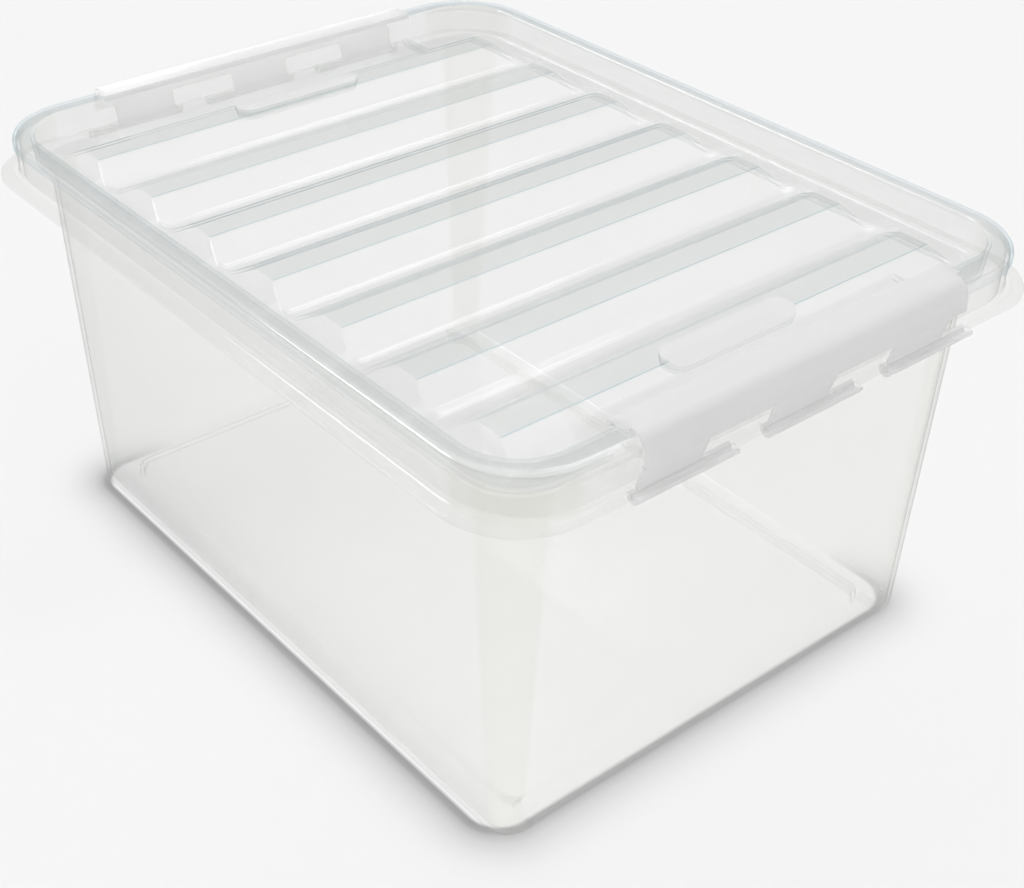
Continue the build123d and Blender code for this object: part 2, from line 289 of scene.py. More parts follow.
def corner_ring(half_x, half_y, radius, z):
    """Points round a rounded rectangle."""
    ring = []
    for sign_x, sign_y, start in ((1, 1, 0), (-1, 1, 90), (-1, -1, 180), (1, -1, 270)):
        for step in range(CORNER_STEPS + 1):
            angle = math.radians(start + 90 * step / CORNER_STEPS)
            x = sign_x * (half_x - radius) + radius * math.cos(angle)
            y = sign_y * (half_y - radius) + radius * math.sin(angle)
            ring.append((x, y, z))
    return ring


def skin_rings(builder, rings):
    """Quads between each pair of neighbouring rings. Returns the rings' vertices."""
    rows = [[builder.verts.new(point) for point in ring] for ring in rings]
    for lower, upper in zip(rows, rows[1:]):
        count = len(lower)
        for index in range(count):
            following = (index + 1) % count
            builder.faces.new((lower[index], lower[following], upper[following], upper[index]))
    return rows


def extruded(builder, outline, y_low, y_high, steps=1):
    """A closed XZ outline carried along Y, with both ends capped."""
    rows = []
    for step in range(steps + 1):
        y = y_low + (y_high - y_low) * step / steps
        rows.append([(x, y, z) for x, z in outline])
    rows = skin_rings(builder, rows)
    builder.faces.new(rows[0])
    builder.faces.new(list(reversed(rows[-1])))


def combine(obj, builder, name, operation):
    """Adds the shape in builder to obj, or cuts it out of obj."""
    tool = finished_object(name, builder, obj.data.materials[0])
    modifier = obj.modifiers.new(name, "BOOLEAN")
    modifier.operation = operation
    modifier.solver = "EXACT"
    modifier.use_self = operation == "UNION"
    modifier.object = tool
    apply_modifiers(obj)
    bpy.data.objects.remove(tool)


def apply_modifiers(obj):
    """Bakes an object's modifiers into its mesh."""
    depsgraph = bpy.context.evaluated_depsgraph_get()
    mesh = bpy.data.meshes.new_from_object(obj.evaluated_get(depsgraph))
    obj.modifiers.clear()
    mesh.set_sharp_from_angle(angle=math.radians(35))
    obj.data = mesh


def add_box(builder, x_range, y_range, z_range):
    """An axis-aligned box."""
    size = [high - low for low, high in (x_range, y_range, z_range)]
    centre = [(high + low) / 2 for low, high in (x_range, y_range, z_range)]
    place = Matrix.Translation(centre) @ Matrix.Diagonal((*size, 1))
    bmesh.ops.create_cube(builder, size=1, matrix=place)


# ---------------------------------------------------------------- materials
def node_material(name):
    """A material with an empty node tree and its output."""
    material = bpy.data.materials.new(name)
    material.use_nodes = True
    nodes = material.node_tree.nodes
    nodes.clear()
    output = nodes.new("ShaderNodeOutputMaterial")
    return material, nodes, material.node_tree.links, output


def add_flow_waviness(nodes, links, shader, scale, distance):
    """The faint unevenness that a moulded plastic surface shows in its reflections."""
    coordinates = nodes.new("ShaderNodeTexCoord")
    noise = nodes.new("ShaderNodeTexNoise")
    noise.inputs["Scale"].default_value = scale
    noise.inputs["Detail"].default_value = 2.0
    bump = nodes.new("ShaderNodeBump")
    bump.inputs["Strength"].default_value = 0.25
    bump.inputs["Distance"].default_value = distance
    links.new(coordinates.outputs["Object"], noise.inputs["Vector"])
    links.new(noise.outputs["Fac"], bump.inputs["Height"])
    links.new(bump.outputs["Normal"], shader.inputs["Normal"])


def math_node(nodes, links, operation, first, second=None):
    """A Math node fed by sockets or plain numbers. Returns its output."""
    node = nodes.new("ShaderNodeMath")
    node.operation = operation
    for socket, value in zip(node.inputs, (first, second)):
        if value is None:
            continue
        if isinstance(value, (int, float)):
            socket.default_value = value
        else:
            links.new(value, socket)
    return node.outputs["Value"]


def mix_shaders(nodes, links, factor, first, second):
    """Two shaders mixed by a socket or a plain number. Returns the output."""
    mix = nodes.new("ShaderNodeMixShader")
    if isinstance(factor, (int, float)):
        mix.inputs["Fac"].default_value = factor
    else:
        links.new(factor, mix.inputs["Fac"])
    links.new(first, mix.inputs[1])
    links.new(second, mix.inputs[2])
    return mix.outputs["Shader"]


def clear_plastic(name, tint, edge_tint, edge_power, face_gloss):
    """Thin clear moulded plastic: see-through, glossy by angle, and very slightly milky.

    Light passes straight on, without bending. The edge tint, which comes in where a
    surface is seen edge-on, stands in for what bending does in a rim or a fold.
    """
    material, nodes, links, output = node_material(name)
    facing = nodes.new("ShaderNodeLayerWeight")
    facing.inputs["Blend"].default_value = 0.5
    grazing = facing.outputs["Facing"]
    gloss_amount = math_node(nodes, links, "POWER", grazing, GLOSS_POWER)
    gloss_amount = math_node(nodes, links, "MULTIPLY", gloss_amount, GLOSS_GAIN)
    gloss_amount = math_node(nodes, links, "ADD", gloss_amount, face_gloss)
    edge_amount = math_node(nodes, links, "POWER", grazing, edge_power)

    see_through_tint = nodes.new("ShaderNodeMix")
    see_through_tint.data_type = "RGBA"
    see_through_tint.inputs["A"].default_value = (*tint, 1)
    see_through_tint.inputs["B"].default_value = (*edge_tint, 1)
    links.new(edge_amount, see_through_tint.inputs["Factor"])
    clear = nodes.new("ShaderNodeBsdfTransparent")
    links.new(see_through_tint.outputs["Result"], clear.inputs["Color"])

    body_milk = nodes.new("ShaderNodeBsdfDiffuse")
    body_milk.inputs["Color"].default_value = (*MILK_TINT, 1)
    passed_milk = nodes.new("ShaderNodeBsdfTranslucent")
    passed_milk.inputs["Color"].default_value = (*MILK_TINT, 1)
    gloss = nodes.new("ShaderNodeBsdfGlossy")
    gloss.inputs["Roughness"].default_value = GLOSS_ROUGHNESS
    add_flow_waviness(nodes, links, gloss, 6.0, 0.00012)

    milky = mix_shaders(
        nodes, links, 0.5, body_milk.outputs["BSDF"], passed_milk.outputs["BSDF"]
    )
    body = mix_shaders(nodes, links, MILK_SHARE, clear.outputs["BSDF"], milky)
    surface = mix_shaders(nodes, links, gloss_amount, body, gloss.outputs["BSDF"])
    links.new(let_light_in(nodes, links, surface), output.inputs["Surface"])
    return material


def let_light_in(nodes, links, surface):
    """Lets the light that falls on other surfaces through a clear wall without loss."""
    path = nodes.new("ShaderNodeLightPath")
    for kind in ("Is Shadow Ray", "Is Diffuse Ray"):
        opening = nodes.new("ShaderNodeBsdfTransparent")
        opening.inputs["Color"].default_value = (1, 1, 1, 1)
        surface = mix_shaders(nodes, links, path.outputs[kind], surface, opening.outputs["BSDF"])
    return surface


def fill_ramp(color_ramp, stops):
    """Grey stops, as (position, grey) pairs from 0 to 1, on a colour ramp."""
    elements = color_ramp.elements
    elements.remove(elements[1])
    for index, (position, grey) in enumerate(stops):
        element = elements[0] if index == 0 else elements.new(position)
        element.position = position
        element.color = (grey, grey, grey, 1)


def milky_plastic():
    """Milky plastic for the latches: mostly white, with a little light and shape showing through."""
    material, nodes, links, output = node_material("milky_latch")
    shader = nodes.new("ShaderNodeBsdfPrincipled")
    shader.inputs["Base Color"].default_value = (*LATCH_TINT, 1)
    shader.inputs["Roughness"].default_value = LATCH_ROUGHNESS
    shader.inputs["IOR"].default_value = LATCH_IOR
    add_flow_waviness(nodes, links, shader, 30.0, 0.0002)
    glow = nodes.new("ShaderNodeBsdfTranslucent")
    glow.inputs["Color"].default_value = (*LATCH_TINT, 1)
    clear = nodes.new("ShaderNodeBsdfTransparent")
    lit = mix_shaders(
        nodes, links, LATCH_GLOW_SHARE, shader.outputs["BSDF"], glow.outputs["BSDF"]
    )
    surface = mix_shaders(nodes, links, LATCH_SEE_THROUGH, lit, clear.outputs["BSDF"])
    links.new(surface, output.inputs["Surface"])
    return material


def floor_material():
    """Plain pale studio floor, with a contact shadow painted along two sides of the bin.

    The clear plastic casts no shadow of its own, so this ring stands in for one.
    """
    material, nodes, links, output = node_material("studio_floor")
    coordinates = nodes.new("ShaderNodeTexCoord")
    split = nodes.new("ShaderNodeSeparateXYZ")
    links.new(coordinates.outputs["Object"], split.inputs["Vector"])
    squares = []
    for axis, half, centre in zip("XY", SHADOW_HALF, SHADOW_CENTRE):
        reach = math_node(nodes, links, "SUBTRACT", split.outputs[axis], centre * MM)
        reach = math_node(nodes, links, "ABSOLUTE", reach)
        reach = math_node(nodes, links, "SUBTRACT", reach, (half - SHADOW_RADIUS) * MM)
        reach = math_node(nodes, links, "MAXIMUM", reach, 0.0)
        squares.append(math_node(nodes, links, "POWER", reach, 2.0))
    distance = math_node(nodes, links, "SQRT", math_node(nodes, links, "ADD", *squares))
    distance = math_node(nodes, links, "SUBTRACT", distance, (SHADOW_RADIUS - SHADOW_START) * MM)
    share = math_node(nodes, links, "DIVIDE", distance, (SHADOW_REACH + SHADOW_START) * MM)
    ramp = nodes.new("ShaderNodeValToRGB")
    fill_ramp(ramp.color_ramp, [
        ((reach + SHADOW_START) / (SHADOW_REACH + SHADOW_START), darkness)
        for reach, darkness in SHADOW_DARKNESS
    ])
    links.new(share, ramp.inputs["Fac"])

    long_side = math_node(nodes, links, "MULTIPLY_ADD", split.outputs["Y"], -SHADOW_SIDE_SLOPE)
    long_side.node.inputs[2].default_value = SHADOW_LONG_SIDE_START
    end = math_node(nodes, links, "MULTIPLY_ADD", split.outputs["X"], SHADOW_SIDE_SLOPE)
    end.node.inputs[2].default_value = SHADOW_END_START
    side = math_node(nodes, links, "MAXIMUM", long_side, end)
    side.node.use_clamp = True
    darkness = math_node(nodes, links, "MULTIPLY", ramp.outputs["Color"], side)
    brightness = math_node(nodes, links, "SUBTRACT", 1.0, darkness)
    albedo = math_node(nodes, links, "MULTIPLY", brightness, FLOOR_ALBEDO)
    shader = nodes.new("ShaderNodeBsdfDiffuse")
    links.new(albedo, shader.inputs["Color"])
    links.new(shader.outputs["BSDF"], output.inputs["Surface"])
    return material


# ---------------------------------------------------------------- bin
def inset(row_half, amount):
    """Half sizes made smaller by the same amount on every side."""
    return (row_half[0] - amount, row_half[1] - amount)


def bin_rows():
    """The section of the bin, from the middle of its underside round to the middle of its floor."""
    pocket = inset(PLATEAU_HALF, FLOOR_THICKNESS)
    pocket_radius = PLATEAU_RADIUS - FLOOR_THICKNESS
    bore = inset(COLLAR_HALF, COLLAR_THICKNESS)
    bore_radius = COLLAR_RADIUS - COLLAR_THICKNESS
    mouth = inset(RIM_HALF, WALL)
    low_inside = inset(BASE_HALF, WALL)
    return [
        (*pocket, pocket_radius, PLATEAU_TOP_Z - FLOOR_THICKNESS, 1.0),
        (*pocket, pocket_radius, 0.0, 0.5),
        (*BASE_HALF, BASE_RADIUS, 0.0, 2.5),
        (*RIM_HALF, RIM_RADIUS, RIM_Z, 0.8),
        (*FLANGE_HALF, FLANGE_RADIUS, RIM_Z, 0.6),
        (*FLANGE_HALF, FLANGE_RADIUS, FLANGE_TOP_Z, 0.6),
        (*COLLAR_HALF, COLLAR_RADIUS, FLANGE_TOP_Z, COLLAR_FILLET),
        (*inset(COLLAR_HALF, -COLLAR_DRAFT), COLLAR_RADIUS + COLLAR_DRAFT, COLLAR_SHOULDER_Z, 0.3),
        (*COLLAR_HALF, COLLAR_RADIUS, COLLAR_SHOULDER_Z, 0.2),
        (*COLLAR_HALF, COLLAR_RADIUS, COLLAR_TOP_Z, 0.8),
        (*bore, bore_radius, COLLAR_TOP_Z, 0.8),
        (*bore, bore_radius, FLANGE_TOP_Z, 1.2),
        (*mouth, RIM_RADIUS - WALL, FLANGE_TOP_Z, 1.5),
        (*low_inside, BASE_RADIUS - WALL, FLOOR_THICKNESS, 2.0),
        (*PLATEAU_HALF, PLATEAU_RADIUS, FLOOR_THICKNESS, 1.0),
        (*PLATEAU_HALF, PLATEAU_RADIUS, PLATEAU_TOP_Z, 1.5),
    ]


def build_bin(material):
    """The bin: one swept wall with its floor, windows, end sills and rods."""
    builder = bmesh.new()
    rings = [corner_ring(*row) for row in rounded_path(bin_rows())]
    rows = skin_rings(builder, rings)
    builder.faces.new(rows[0])
    builder.faces.new(rows[-1])
    shell = finished_object("bin_shell", builder, material)

    windows = bmesh.new()
    for side in (-1, 1):
        x_range = sorted((side * WINDOW_INNER_X, side * (FLANGE_HALF[0] + 3)))
        for centre_y in HINGE_CENTRES_Y:
            y_range = (centre_y - WINDOW_HALF_WIDTH, centre_y + WINDOW_HALF_WIDTH)
            add_box(windows, x_range, y_range, WINDOW_Z)
    combine(shell, windows, "hinge_windows", "DIFFERENCE")
    sills = bmesh.new()
    gaps = bmesh.new()
    sill_half = SILL_HALF_WIDTH + FLOOR_THICKNESS
    for side in (-1, 1):
        sill_x = sorted((side * (PLATEAU_HALF[0] - 1), side * (BASE_HALF[0] - 1)))
        add_box(sills, sill_x, (-sill_half, sill_half), (0.5, SILL_UNDERSIDE_Z + FLOOR_THICKNESS))
        gap_x = sorted((side * (PLATEAU_HALF[0] - FLOOR_THICKNESS - 0.5), side * (BASE_HALF[0] + 3)))
        add_box(gaps, gap_x, (-SILL_HALF_WIDTH, SILL_HALF_WIDTH), (-1, SILL_UNDERSIDE_Z))
    combine(shell, sills, "end_sills", "UNION")
    combine(shell, gaps, "sill_gaps", "DIFFERENCE")

    rods = bmesh.new()
    for side in (-1, 1):
        for centre_y in HINGE_CENTRES_Y:
            place = Matrix.Translation((side * HINGE_X, centre_y, HINGE_Z)) @ Matrix.Rotation(
                math.radians(90), 4, "X"
            )
            bmesh.ops.create_cone(
                rods, cap_ends=True, segments=32, radius1=ROD_RADIUS, radius2=ROD_RADIUS,
                depth=2 * WINDOW_HALF_WIDTH + 0.2, matrix=place,
            )
    rod_object = finished_object("latch_rods", rods, material)
    rod_object.parent = shell
    return shell


# ---------------------------------------------------------------- lid
def smooth_step(value):
    """0 below 0, 1 above 1 and a smooth rise between."""
    value = min(max(value, 0.0), 1.0)
    return value * value * (3 - 2 * value)


def soft_min(first, second, softness=FOLD_SOFTNESS):
    """The smaller of two heights, with the fold between them rounded."""
    overlap = max(softness - abs(first - second), 0.0) / softness
    return min(first, second) - overlap * overlap * softness / 4


def soft_max(first, second, softness=FOLD_SOFTNESS):
    """The larger of two heights, with the fold between them rounded."""
    return -soft_min(-first, -second, softness)


def valley_height(distance, half_width):
    """Height of a valley's side at a distance from its centre line, rounded at the bottom."""
    if distance < VALLEY_ROUND:
        return VALLEY_Z + VALLEY_RADIUS - math.sqrt(VALLEY_RADIUS ** 2 - distance ** 2)
    return RIDGE_TOP_Z - (half_width - distance) * RIDGE_RISE_PER_MM


def ribbed_height(x, y, spread):
    """Height of the ridges and valleys. spread widens the valleys' and ridges' outlines."""
    end_z = RIDGE_TOP_Z - (abs(y) - RIDGE_HALF_LENGTH + spread) * (
        (RIDGE_TOP_Z - TRAY_Z) / RIDGE_END_DRAFT
    )
    nearest = min(RIDGE_CENTRES_X, key=lambda centre_x: abs(x - centre_x))
    offset = x - nearest
    side = 1 if offset >= 0 else -1
    index = RIDGE_CENTRES_X.index(nearest) + side
    if not 0 <= index < len(RIDGE_CENTRES_X):
        slope_z = RIDGE_TOP_Z - (abs(offset) - RIDGE_TOP_HALF_WIDTH) * RIDGE_RISE_PER_MM
        return soft_max(TRAY_Z, soft_min(soft_min(slope_z, RIDGE_TOP_Z), end_z))
    half_pitch = abs(RIDGE_CENTRES_X[index] - nearest) / 2
    half_width = half_pitch - RIDGE_TOP_HALF_WIDTH
    from_valley = half_pitch - abs(offset)
    foot = half_width - RIDGE_SLOPE_WIDTH
    if from_valley > foot:
        slope_z = valley_height(from_valley, half_width)
        return soft_max(TRAY_Z, soft_min(soft_min(slope_z, RIDGE_TOP_Z), end_z))
    straight = RIDGE_HALF_LENGTH + RIDGE_END_DRAFT + spread - VALLEY_END_RADIUS
    across = max(from_valley - (foot - VALLEY_END_RADIUS), 0.0)
    along_end = max(abs(y) - straight, 0.0)
    inside = VALLEY_END_RADIUS - math.hypot(across, along_end)
    if along_end > 0:
        from_valley = max(foot - inside, from_valley)
    return min(valley_height(min(from_valley, half_width), half_width), TRAY_Z)


def recess_depth(x, y):
    """1 inside a thumb recess, 0 outside, with a narrow ramp between."""
    centre_x = sum(RECESS_X) / 2
    reach_x = (RECESS_X[1] - RECESS_X[0]) / 2 - RECESS_RADIUS
    past_x = max(abs(abs(x) - centre_x) - reach_x, 0.0)
    past_y = max(abs(y) - (RECESS_HALF_WIDTH - RECESS_RADIUS), 0.0)
    distance = math.hypot(past_x, past_y)
    return smooth_step((RECESS_RADIUS - distance) / 1.6 + 0.5)


def tray_height(x, y, drop=0.0):
    """Height of the tray's top surface, or of its underside when drop is the thickness."""
    z = ribbed_height(x, y, drop / 2)
    if abs(x) >= PAD_INNER_X:
        pad_share = smooth_step((PAD_HALF_WIDTH - drop + 1.0 - abs(y)) / 1.0)
        z = max(z, TRAY_Z + pad_share * (PAD_TOP_Z - TRAY_Z))
    depth = recess_depth(x, y)
    if depth > 0 and z > RECESS_FLOOR_Z:
        z += (RECESS_FLOOR_Z - z) * depth
    return z - drop


def grid_lines(half, offsets_by_place):
    """Sorted grid positions from minus half to plus half: each place has its own fine offsets."""
    lines = {-half, half}
    for place, offsets in offsets_by_place:
        for offset in offsets:
            value = round(abs(place + offset), 3)
            if value < half - 0.3:
                lines |= {value, -value}
    return sorted(lines)


def tray_lines_x():
    """Grid lines across the length: the folds of each ridge, each recess and the lid's corners."""
    fold_offsets = (-0.48, -0.25, 0.0, 0.25, 0.48, 3.0, 6.0, 9.0, 12.0, 14.8, 15.2, 15.6)
    places = []
    for centre_x in RIDGE_CENTRES_X:
        places.append((centre_x + RIDGE_TOP_HALF_WIDTH, fold_offsets))
        places.append((centre_x - RIDGE_TOP_HALF_WIDTH, [-offset for offset in fold_offsets]))
    for centre_x, next_x in zip(RIDGE_CENTRES_X, RIDGE_CENTRES_X[1:]):
        places.append(((centre_x + next_x) / 2, [step * VALLEY_ROUND / 5 for step in range(-5, 6)]))
    places.append((RECESS_X[0] - 2, [step * 0.8 for step in range(26)]))
    places.append((PAD_INNER_X, (-0.05, 0.0)))
    places.append((TRAY_GRID_HALF[0], (-9.0, -6.0, -4.5, -1.5)))
    return grid_lines(TRAY_GRID_HALF[0], places)


def tray_lines_y():
    """Grid lines across the width: the recesses, the pads, the ridge ends and the lid's corners."""
    end_offsets = [-0.2, -0.1, 0.0, 0.1, 0.2] + [step * RIDGE_END_DRAFT / 12 for step in range(1, 15)]
    places = [
        (0.0, (0.0, 12.0, 24.0)),
        (RECESS_HALF_WIDTH + 1.4, [-step * 0.7 for step in range(20)]),
        (PAD_HALF_WIDTH, (-2.0, -1.0, -0.5, 0.0, 0.25, 0.5, 0.75, 1.0, 1.5, 3.0)),
        (PAD_HALF_WIDTH, (-45.0, -25.0, -10.0, 12.0, 24.0, 30.0)),
        (RIDGE_HALF_LENGTH, end_offsets),
    ]
    return grid_lines(TRAY_GRID_HALF[1], places)


def rim_point(x, y, half_x, half_y, radius):
    """The place on a rounded rectangle that belongs to a point on the tray grid's edge."""
    straight_x = half_x - radius
    straight_y = half_y - radius
    if abs(y) >= TRAY_GRID_HALF[1]:
        if abs(x) <= straight_x:
            return x, math.copysign(half_y, y)
        share = (abs(x) - straight_x) / (TRAY_GRID_HALF[0] - straight_x)
        angle = math.radians(90 - 45 * share)
    else:
        if abs(y) <= straight_y:
            return math.copysign(half_x, x), y
        share = (abs(y) - straight_y) / (TRAY_GRID_HALF[1] - straight_y)
        angle = math.radians(45 * share)
    reach_x = straight_x + radius * math.cos(angle)
    reach_y = straight_y + radius * math.sin(angle)
    return math.copysign(reach_x, x), math.copysign(reach_y, y)


def grid_edge(lines_x, lines_y):
    """The (column, row) indices round the edge of the tray grid, counter-clockwise."""
    last_x, last_y = len(lines_x) - 1, len(lines_y) - 1
    edge = [(i, 0) for i in range(last_x)]
    edge += [(last_x, j) for j in range(last_y)]
    edge += [(i, last_y) for i in range(last_x, 0, -1)]
    edge += [(0, j) for j in range(last_y, 0, -1)]
    return edge


def tray_surface(builder, lines_x, lines_y, drop):
    """The tray's top, or its underside when drop is the thickness. Returns its edge vertices."""
    grid = [[builder.verts.new((x, y, tray_height(x, y, drop))) for y in lines_y] for x in lines_x]
    for i in range(len(lines_x) - 1):
        for j in range(len(lines_y) - 1):
            builder.faces.new((grid[i][j], grid[i + 1][j], grid[i + 1][j + 1], grid[i][j + 1]))
    return [grid[i][j] for i, j in grid_edge(lines_x, lines_y)]


def join_rows(builder, row, other):
    """Quads between two equally long closed rows of vertices."""
    count = len(row)
    for index in range(count):
        following = (index + 1) % count
        builder.faces.new((row[index], row[following], other[following], other[index]))


def lid_rows():
    """The lid's rim section, from the foot of the well's inside to the foot of its outside."""
    skirt = inset(LID_HALF, SKIRT_THICKNESS)
    skirt_radius = LID_RADIUS - SKIRT_THICKNESS
    under_top = inset(WELL_TOP_HALF, -LID_THICKNESS)
    under_bottom = inset(WELL_BOTTOM_HALF, -LID_THICKNESS)
    under_z = LID_TOP_Z - SKIRT_THICKNESS
    return [
        (*inset(WELL_BOTTOM_HALF, 4), WELL_BOTTOM_RADIUS - 4, TRAY_Z, 0),
        (*WELL_BOTTOM_HALF, WELL_BOTTOM_RADIUS, TRAY_Z, 2.0),
        (*WELL_TOP_HALF, WELL_TOP_RADIUS, LID_TOP_Z, WELL_SHOULDER),
        (*LID_HALF, LID_RADIUS, LID_TOP_Z, ROLL_RADIUS),
        (*LID_HALF, LID_RADIUS, SKIRT_BOTTOM_Z, 0.4),
        (*skirt, skirt_radius, SKIRT_BOTTOM_Z, 0.4),
        (*skirt, skirt_radius, under_z, ROLL_RADIUS - SKIRT_THICKNESS),
        (*under_top, WELL_TOP_RADIUS + LID_THICKNESS, under_z, 1.0),
        (*under_bottom, WELL_BOTTOM_RADIUS + LID_THICKNESS, TRAY_Z - LID_THICKNESS, 2.0),
        (*inset(under_bottom, 6), WELL_BOTTOM_RADIUS - 4, TRAY_Z - LID_THICKNESS, 0),
    ]


def lifted_over_pad(x, y, z, drop):
    """A wall point raised to the end pad's surface where the pad meets the wall."""
    if abs(x) < PAD_INNER_X or z > PAD_TOP_Z:
        return z
    return max(z, tray_height(x, y, drop))


def build_lid(material):
    """The lid: tray surfaces above and below, joined through the rolled rim."""
    builder = bmesh.new()
    lines_x, lines_y = tray_lines_x(), tray_lines_y()
    top_edge = tray_surface(builder, lines_x, lines_y, 0.0)
    under_edge = tray_surface(builder, lines_x, lines_y, LID_THICKNESS)
    edge_points = [(lines_x[i], lines_y[j]) for i, j in grid_edge(lines_x, lines_y)]
    path = rounded_path(lid_rows())
    turn = path.index(min(path, key=lambda row: abs(row[3] - SKIRT_BOTTOM_Z)))
    previous = top_edge
    for index, (half_x, half_y, radius, z) in enumerate(path):
        drop = 0.0 if index <= turn else LID_THICKNESS
        row = []
        for edge_x, edge_y in edge_points:
            x, y = rim_point(edge_x, edge_y, half_x, half_y, radius)
            row.append(builder.verts.new((x, y, lifted_over_pad(x, y, z, drop))))
        join_rows(builder, previous, row)
        previous = row
    join_rows(builder, previous, under_edge)
    return finished_object("lid_shell", builder, material, sharp_degrees=28)


# ---------------------------------------------------------------- latches
def plate_outline():
    """The latch plate's section: a strip of even thickness with a lip at its inner edge."""
    middle_z = LATCH_TOP_Z - LATCH_THICKNESS / 2
    spine = rounded_path([
        (LATCH_LIP_X, middle_z, 0),
        (LATCH_SHOULDER_X, middle_z, LATCH_BEND_RADIUS),
        (*LATCH_FOOT, 0),
    ])
    outer, inner = [], []
    for index, point in enumerate(spine):
        ahead = Vector(spine[min(index + 1, len(spine) - 1)])
        behind = Vector(spine[max(index - 1, 0)])
        way = (ahead - behind).normalized()
        normal = Vector((-way.y, way.x)) * LATCH_THICKNESS / 2
        outer.append(tuple(Vector(point) + normal))
        inner.append(tuple(Vector(point) - normal))
    lip_z = LATCH_TOP_Z - LATCH_THICKNESS - LATCH_LIP_DROP
    lip_outer_x = LATCH_LIP_X + LATCH_LIP_THICKNESS
    inner[0] = (lip_outer_x, inner[0][1])
    return [(LATCH_LIP_X, lip_z)] + outer + inner[::-1] + [(lip_outer_x, lip_z)]


def add_plate(builder):
    """The bent plate, with the corners of its lip rounded in plan."""
    outline = plate_outline()
    corner = LATCH_CORNER_RADIUS
    rows = []
    stations = [0, 15, 30, 45, 60, 75, 90]
    for side in (-1, 1):
        for degrees in stations if side < 0 else reversed(stations):
            angle = math.radians(degrees)
            y = side * (LATCH_HALF_LENGTH - corner * (1 - math.sin(angle)))
            least_x = LATCH_LIP_X + corner * (1 - math.cos(math.radians(90 - degrees)))
            rows.append([(max(x, least_x), y, z) for x, z in outline])
    rows = skin_rings(builder, rows)
    builder.faces.new(rows[0])
    builder.faces.new(list(reversed(rows[-1])))


def claw_outline():
    """A C-shaped section round the rod, open towards the top."""
    steps = 40
    outer, inner = [], []
    for step in range(steps + 1):
        angle = math.radians(
            CLAW_START_DEGREES + (CLAW_END_DEGREES - CLAW_START_DEGREES) * step / steps
        )
        direction = Vector((math.cos(angle), math.sin(angle)))
        centre = Vector((HINGE_X, HINGE_Z))
        outer.append(tuple(centre + direction * CLAW_OUTER_RADIUS))
        inner.append(tuple(centre + direction * CLAW_INNER_RADIUS))
    return outer + inner[::-1]


def build_latch(name, material):
    """One latch in the place it has at the +X end."""
    plate = bmesh.new()
    add_plate(plate)
    latch = finished_object(name, plate, material)
    limbs = bmesh.new()
    for centre_y in HINGE_CENTRES_Y:
        extruded(limbs, claw_outline(), centre_y - CLAW_HALF_WIDTH, centre_y + CLAW_HALF_WIDTH)
        arm_y = centre_y + ARM_OFFSET_Y
        extruded(limbs, ARM_PROFILE, arm_y - ARM_HALF_WIDTH, arm_y + ARM_HALF_WIDTH)
    combine(latch, limbs, name + "_limbs", "UNION")
    return latch


def turned_half_way(obj, name):
    """A copy of a piece turned half way round the Z axis."""
    copy = bpy.data.objects.new(name, obj.data.copy())
    copy.data.transform(Matrix.Rotation(math.pi, 4, "Z"))
    bpy.context.scene.collection.objects.link(copy)
    return copy


# ---------------------------------------------------------------- studio
def add_camera():
    """The camera: azimuth, elevation and roll in degrees, place in metres."""
    azimuth, elevation, roll = (math.radians(angle) for angle in CAMERA_ANGLES)
    back = Vector((
        math.sin(azimuth) * math.cos(elevation),
        -math.cos(azimuth) * math.cos(elevation),
        math.sin(elevation),
    ))
    right = Vector((0, 0, 1)).cross(back).normalized()
    up = back.cross(right)
    rolled_right = right * math.cos(roll) + up * math.sin(roll)
    rolled_up = up * math.cos(roll) - right * math.sin(roll)
    camera = bpy.data.objects.new("camera", bpy.data.cameras.new("camera"))
    turn = Matrix((rolled_right, rolled_up, back)).transposed()
    camera.matrix_world = Matrix.Translation(CAMERA_PLACE) @ turn.to_4x4()
    camera.data.lens = CAMERA_LENS
    camera.data.sensor_width = CAMERA_SENSOR
    camera.data.shift_x = CAMERA_SHIFT_X
    camera.data.clip_start = 0.01
    bpy.context.scene.collection.objects.link(camera)
    bpy.context.scene.camera = camera


def add_floor():
    """A wide pale floor, just under the bin."""
    builder = bmesh.new()
    bmesh.ops.create_grid(builder, x_segments=1, y_segments=1, size=20000)
    floor = finished_object("studio_floor", builder, floor_material())
    floor.location.z = -0.0004


def softbox(nodes, links, direction, cosines, strength):
    """Light from a round softbox in one direction, fading between two cosines. Returns a socket."""
    coordinates = nodes.new("ShaderNodeTexCoord")
    facing = nodes.new("ShaderNodeVectorMath")
    facing.operation = "DOT_PRODUCT"
    facing.inputs[1].default_value = Vector(direction).normalized()
    links.new(coordinates.outputs["Generated"], facing.inputs[0])
    fade = nodes.new("ShaderNodeMapRange")
    fade.interpolation_type = "SMOOTHSTEP"
    fade.inputs["From Min"].default_value = cosines[0]
    fade.inputs["From Max"].default_value = cosines[1]
    fade.inputs["To Max"].default_value = strength
    links.new(facing.outputs["Value"], fade.inputs["Value"])
    return fade.outputs["Result"]


